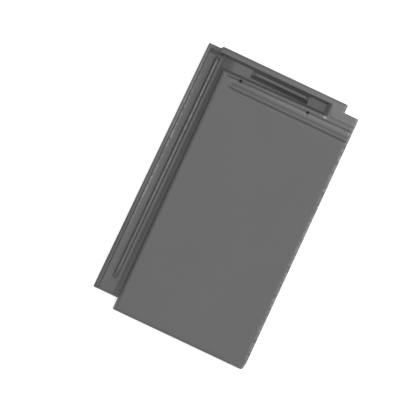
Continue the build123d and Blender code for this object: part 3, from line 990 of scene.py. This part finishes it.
class EngobeFinish(bpy.types.PropertyGroup):
    engobe_dark: FloatVectorProperty(
        name="Darker engobe", description="Colour where the engobe is thickest",
        default=linear("#3F3F3F"), size=3, min=0.0, max=1.0, subtype="COLOR",
    )
    engobe_light: FloatVectorProperty(
        name="Lighter engobe", description="Colour where the engobe is thinnest",
        default=linear("#464646"), size=3, min=0.0, max=1.0, subtype="COLOR",
    )
    # Painted highlight: colour of the highlight lines and glints on crests and edges
    highlight_colour: FloatVectorProperty(
        name="Rubbed engobe", description="Colour where the engobe is rubbed thin",
        default=linear("#868686"), size=3, min=0.0, max=1.0, subtype="COLOR",
    )
    roughness: FloatProperty(
        name="Roughness", description="Roughness of the satin surface",
        default=0.5, min=0.05, max=1.0, subtype="FACTOR",
    )
    grain_size: FloatProperty(
        name="Grain", description="Size of the grain, drawn coarser than it is so that it shows",
        default=0.0022, min=0.0002, max=0.01, subtype="DISTANCE", unit="LENGTH",
    )


class StudioSettings(bpy.types.PropertyGroup):
    floor_colour: FloatVectorProperty(
        name="Floor colour", description="Colour of the studio board",
        default=linear("#B4B4B4"), size=3, min=0.0, max=1.0, subtype="COLOR",
    )
    floor_glow: FloatProperty(
        name="Floor glow", description="Light given by the board itself, which thins shadows",
        default=0.75, min=0.0, max=2.0,
    )
    sky: FloatProperty(
        name="Soft light", description="Strength of the even light from all round",
        default=0.80, min=0.0, max=5.0,
    )
    key: FloatProperty(
        name="Key light", description="Strength of the soft light from nearly overhead",
        default=1.6, min=0.0, max=20.0,
    )
    picture_width: FloatProperty(
        name="Picture width", description="Width of the floor that the picture covers",
        default=0.670, min=0.1, max=5.0, subtype="DISTANCE", unit="LENGTH",
    )
    camera_height: FloatProperty(
        name="Camera height", description="Height of the camera over the tile's face",
        default=8.0, min=0.5, max=20.0, subtype="DISTANCE", unit="LENGTH",
    )
    camera_turn: FloatProperty(
        name="Camera turn", description="Turn of the camera about the upright",
        default=math.radians(25.25), subtype="ANGLE", unit="ROTATION",
    )


# Operators


class ROOFTILE_OT_tile(bpy.types.Operator):
    """Make the pressed tile with its engobe, in the place of its plain solid"""

    bl_idname = "rooftile.tile"
    bl_label = "Make the tile"

    def execute(self, context):
        points, faces, marks = closed_tile(context.scene.rooftile_shape)
        material = engobed_clay(context.scene.rooftile_finish)
        piece = mesh_object("pressed_tile", points, faces, material)
        for name, values in marks.items():
            mark = piece.data.attributes.new(name, "FLOAT", "POINT")
            mark.data.foreach_set("value", values.astype(np.float32))
        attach(piece, "root")
        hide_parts("roof_tile")
        return {"FINISHED"}


class ROOFTILE_OT_stage(bpy.types.Operator):
    """Make the pale floor, the soft lights and the camera"""

    bl_idname = "rooftile.stage"
    bl_label = "Make the stage"

    def execute(self, context):
        studio = context.scene.rooftile_studio
        scene = context.scene
        steps = np.linspace(-FLOOR_REACH, FLOOR_REACH, FLOOR_LINES)
        x, y = np.meshgrid(steps, steps)
        points = np.column_stack([x.ravel(), y.ravel(), np.full(x.size, FLOOR_LEVEL)])
        index = np.arange(x.size).reshape(x.shape)
        corners = (index[:-1, :-1], index[:-1, 1:], index[1:, 1:], index[1:, :-1])
        faces = np.column_stack([corner.ravel() for corner in corners])
        floor = mesh_object("studio_floor", points, faces, pale_floor(studio))

        world = bpy.data.worlds.new("soft_studio")
        scene.world = world
        world.use_nodes = True
        sky = world.node_tree.nodes["Background"]
        sky.inputs["Color"].default_value = (1.0, 1.0, 1.0, 1.0)
        sky.inputs["Strength"].default_value = studio.sky

        sun = bpy.data.lights.new("key", "SUN")
        sun.energy = studio.key
        sun.angle = math.radians(KEY_SPREAD)
        lamp = bpy.data.objects.new("key", sun)
        aim = Vector(KEY_AIM)
        lamp.rotation_mode = "QUATERNION"
        lamp.rotation_quaternion = aim.to_track_quat("Z", "Y")
        lamp.location = aim
        scene.collection.objects.link(lamp)

        camera = bpy.data.cameras.new("camera")
        camera.sensor_width = SENSOR_WIDTH
        camera.lens = SENSOR_WIDTH * studio.camera_height / studio.picture_width
        camera.clip_end = CAMERA_END
        view = bpy.data.objects.new("camera", camera)
        view.location = (*CAMERA_SPOT, Z_TOP * MM + studio.camera_height)
        view.rotation_euler = (0.0, 0.0, studio.camera_turn)
        scene.collection.objects.link(view)
        scene.camera = view
        scene.view_settings.view_transform = "Standard"
        scene.view_settings.look = "None"
        return {"FINISHED"}


class ROOFTILE_PT_panel(bpy.types.Panel):
    """Sizes, finish and light of the roof tile"""

    bl_idname = "ROOFTILE_PT_panel"
    bl_label = "Roof tile"
    bl_space_type = "VIEW_3D"
    bl_region_type = "UI"
    bl_category = "Roof tile"

    def draw(self, context):
        for title, group in (
            ("Shape", context.scene.rooftile_shape),
            ("Finish", context.scene.rooftile_finish),
            ("Studio", context.scene.rooftile_studio),
        ):
            self.layout.label(text=title)
            column = self.layout.column(align=True)
            for name in group.__annotations__:
                column.prop(group, name)
        self.layout.operator(ROOFTILE_OT_tile.bl_idname)
        self.layout.operator(ROOFTILE_OT_stage.bl_idname)


CLASSES = (
    RoofTileShape,
    EngobeFinish,
    StudioSettings,
    ROOFTILE_OT_tile,
    ROOFTILE_OT_stage,
    ROOFTILE_PT_panel,
)


def register():
    for cls in CLASSES:
        bpy.utils.register_class(cls)
    bpy.types.Scene.rooftile_shape = PointerProperty(type=RoofTileShape)
    bpy.types.Scene.rooftile_finish = PointerProperty(type=EngobeFinish)
    bpy.types.Scene.rooftile_studio = PointerProperty(type=StudioSettings)


def unregister():
    del bpy.types.Scene.rooftile_studio
    del bpy.types.Scene.rooftile_finish
    del bpy.types.Scene.rooftile_shape
    for cls in reversed(CLASSES):
        bpy.utils.unregister_class(cls)


def main():
    register()
    bpy.ops.rooftile.tile()
    bpy.ops.rooftile.stage()


if __name__ == "__main__":
    main()
